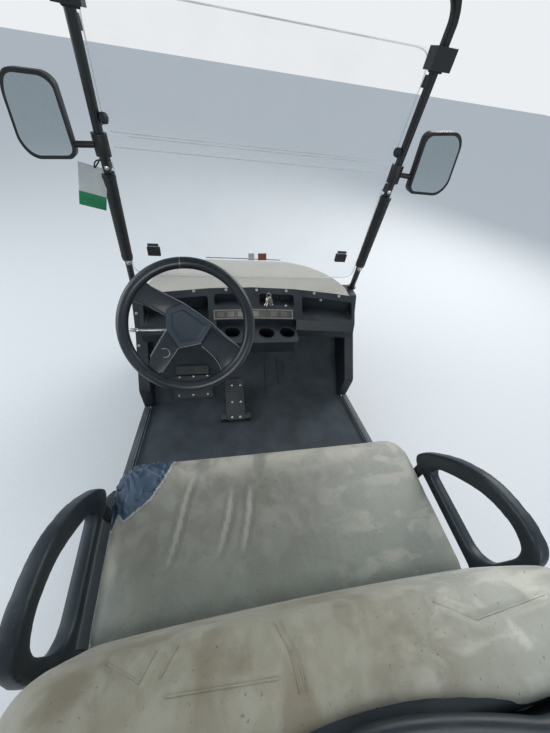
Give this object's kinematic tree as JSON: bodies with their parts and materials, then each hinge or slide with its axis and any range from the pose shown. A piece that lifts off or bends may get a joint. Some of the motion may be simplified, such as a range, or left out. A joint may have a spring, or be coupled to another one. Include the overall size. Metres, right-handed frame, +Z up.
{
  "type": "golf cart",
  "caption": "Open two-seat golf cart with a roof, a folding clear windshield, a bench seat with hip restraints, door mirrors, a bag well and steered front wheels.",
  "frame": {"origin": "on the ground, midway between the sides and between nose and tail", "axes": "+Y forward, +X to the passenger's side, +Z up"},
  "size_m": [1.4611, 2.36, 1.878],
  "materials": {
    "tyre_rubber": "matt",
    "rim_paint": "satin, dusty",
    "frame_paint": "satin, dusty",
    "spring_steel": "dull",
    "floor_rubber": "matt, dusty",
    "sill_plastic": "ribbed",
    "dash_plastic": "grained",
    "body_paint": "gloss, worn",
    "lamp_clear": "clear",
    "lamp_red": "gloss",
    "battery_case": "matt",
    "seat_vinyl": "stained vinyl",
    "strut_paint": "satin black",
    "roof_plastic": "satin",
    "screen_clear": "clear, scratched",
    "clip_rubber": "matt",
    "wheel_grip": "satin, worn",
    "pedal_metal": "worn",
    "mirror_case": "satin",
    "mirror_face": "mirror"
  },
  "bodies": {
    "chassis": {"front_axle": "frame_paint", "rear_axle": "frame_paint", "frame_rails": "frame_paint", "cross_members": "frame_paint", "leaf_springs": "spring_steel", "floor": "floor_rubber", "sill_strips": "sill_plastic", "footwell_sides": "dash_plastic", "dash": "dash_plastic", "cup_tray": "dash_plastic", "front_cowl": "body_paint", "headlights": "lamp_clear", "bumpers": "dash_plastic", "rear_body": "body_paint", "bag_well": "dash_plastic", "tail_lights": "lamp_red", "battery_bank": "battery_case", "backrest_cushion": "seat_vinyl", "backrest_shell": "dash_plastic", "hip_restraints": "dash_plastic", "front_struts": "strut_paint", "rear_struts": "strut_paint", "roof": "roof_plastic", "windshield": "screen_clear", "windshield_clips": "clip_rubber", "steering_column": "strut_paint", "brake_pedals": "pedal_metal", "accelerator": "pedal_metal", "mirror_frames": "mirror_case", "mirror_glasses": "mirror_face", "bag_rack": "frame_paint"},
    "seat": {"seat_cushion": "seat_vinyl", "seat_board": "dash_plastic"},
    "steering_wheel": {"steering_wheel": "wheel_grip"},
    "knuckle_left": {"knuckle_left": "frame_paint"},
    "knuckle_right": {"knuckle_right": "frame_paint"},
    "track_rod": {"track_rod": "frame_paint"},
    "wheel_front_left": {"tyre_front_left": "tyre_rubber", "rim_front_left": "rim_paint"},
    "wheel_front_right": {"tyre_front_right": "tyre_rubber", "rim_front_right": "rim_paint"},
    "wheel_rear_left": {"tyre_rear_left": "tyre_rubber", "rim_rear_left": "rim_paint"},
    "wheel_rear_right": {"tyre_rear_right": "tyre_rubber", "rim_rear_right": "rim_paint"}
  },
  "joints": [
    {"name": "steer_left", "type": "hinge", "parent": "chassis", "child": "knuckle_left", "pos_m": [-0.3, 0.85, 0.2285], "axis": [0, 0, 1], "range_deg": [-28, 28]},
    {"name": "steer_right", "type": "hinge", "parent": "chassis", "child": "knuckle_right", "pos_m": [0.3, 0.85, 0.2285], "axis": [0, 0, 1], "range_deg": [-28, 28]},
    {"name": "track_rod_pivot", "type": "hinge", "parent": "knuckle_left", "child": "track_rod", "pos_m": [-0.3, 0.74, 0.1649], "axis": [0, 0, 1], "range_deg": [-28, 28]},
    {"name": "steering_wheel_turn", "type": "hinge", "parent": "chassis", "child": "steering_wheel", "pos_m": [-0.259, 0.015, 1.096], "axis": [0, -0.7242, 0.6896], "range_deg": [-336, 336]},
    {"name": "seat_lid", "type": "hinge", "parent": "chassis", "child": "seat", "pos_m": [0, -0.52, 0.5483], "axis": [1, 0, 0], "range_deg": [0, 55]},
    {"name": "spin_front_left", "type": "hinge", "parent": "knuckle_left", "child": "wheel_front_left", "pos_m": [-0.435, 0.85, 0.2285], "axis": [1, 0, 0], "continuous": true},
    {"name": "spin_front_right", "type": "hinge", "parent": "knuckle_right", "child": "wheel_front_right", "pos_m": [0.435, 0.85, 0.2285], "axis": [1, 0, 0], "continuous": true},
    {"name": "spin_rear_left", "type": "hinge", "parent": "chassis", "child": "wheel_rear_left", "pos_m": [-0.485, -0.82, 0.2285], "axis": [1, 0, 0], "continuous": true},
    {"name": "spin_rear_right", "type": "hinge", "parent": "chassis", "child": "wheel_rear_right", "pos_m": [0.485, -0.82, 0.2285], "axis": [1, 0, 0], "continuous": true}
  ],
  "couplings": [
    {"joint": "steer_right", "follows": "steer_left", "ratio": 1},
    {"joint": "track_rod_pivot", "follows": "steer_left", "ratio": -1},
    {"joint": "steering_wheel_turn", "follows": "steer_left", "ratio": 12}
  ]
}
